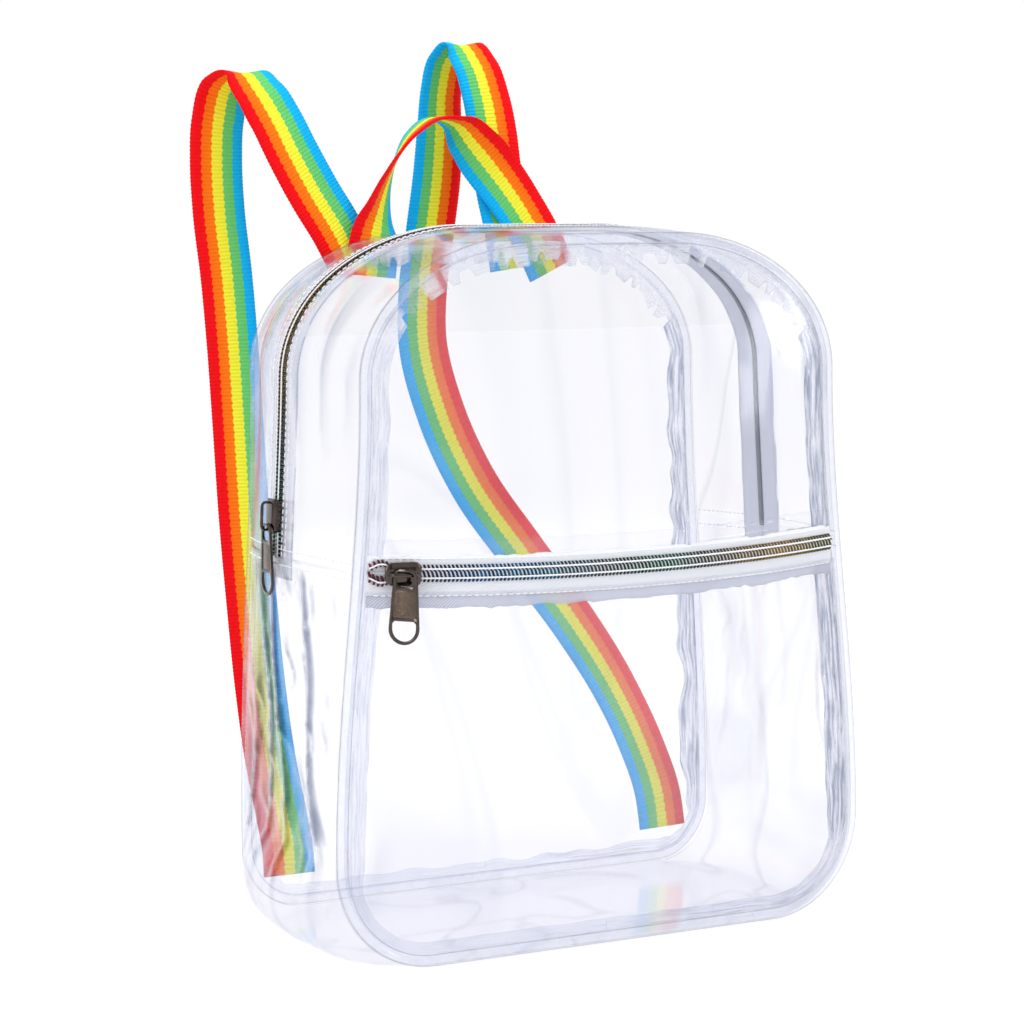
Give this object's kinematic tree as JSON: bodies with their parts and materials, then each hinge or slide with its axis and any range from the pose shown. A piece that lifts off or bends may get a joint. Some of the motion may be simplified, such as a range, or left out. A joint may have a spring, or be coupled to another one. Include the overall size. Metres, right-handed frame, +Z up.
{
  "type": "clear stadium backpack",
  "caption": "Small clear backpack with a zipped front pocket, a zip over the top, rainbow-striped webbing straps and grab handle, and metal zip pulls that swing.",
  "frame": {"origin": "middle of the base, on the surface that the bag stands on", "axes": "+Z up, -Y towards the front pocket, +X to the right across the front as seen from the front"},
  "size_m": [0.2644, 0.1864, 0.3919],
  "materials": {
    "clear_sheet": "clear flexible sheet with a faint cool tint, glossy",
    "clear_piping": "clear bound cord, glossy, greyer than the sheet",
    "white_tape": "white woven zip tape, matt",
    "plated_coil": "zip coil with an oil-slick metallic plating",
    "dark_plated_metal": "die-cast metal plated dark bronze, polished",
    "striped_webbing": "flat woven webbing in five bright rainbow stripes"
  },
  "bodies": {
    "bag": {"front_panel": "clear_sheet", "pocket_panel": "clear_sheet", "back_panel": "clear_sheet", "lower_gusset": "clear_sheet", "upper_gusset_front": "clear_sheet", "upper_gusset_back": "clear_sheet", "front_piping": "clear_piping", "back_piping": "clear_piping", "main_zip_tape_front": "white_tape", "main_zip_tape_back": "white_tape", "main_zip_coil": "plated_coil", "main_zip_slider": "dark_plated_metal", "pocket_zip_tape_upper": "white_tape", "pocket_zip_tape_lower": "white_tape", "pocket_zip_coil": "plated_coil", "pocket_zip_slider": "dark_plated_metal", "grab_handle": "striped_webbing", "shoulder_strap_left": "striped_webbing", "shoulder_strap_right": "striped_webbing"},
    "main_pull": {"main_zip_pull": "dark_plated_metal"},
    "pocket_pull": {"pocket_zip_pull": "dark_plated_metal"}
  },
  "joints": [
    {"name": "main_pull_swing", "type": "hinge", "parent": "bag", "child": "main_pull", "pos_m": [-0.12675, 0.009, 0.18165], "axis": [0, 1, 0], "range_deg": [0, 130]},
    {"name": "pocket_pull_swing", "type": "hinge", "parent": "bag", "child": "pocket_pull", "pos_m": [-0.09911, -0.07449, 0.16735], "axis": [-0.9803, 0.1922, 0.046], "range_deg": [0, 140]}
  ]
}
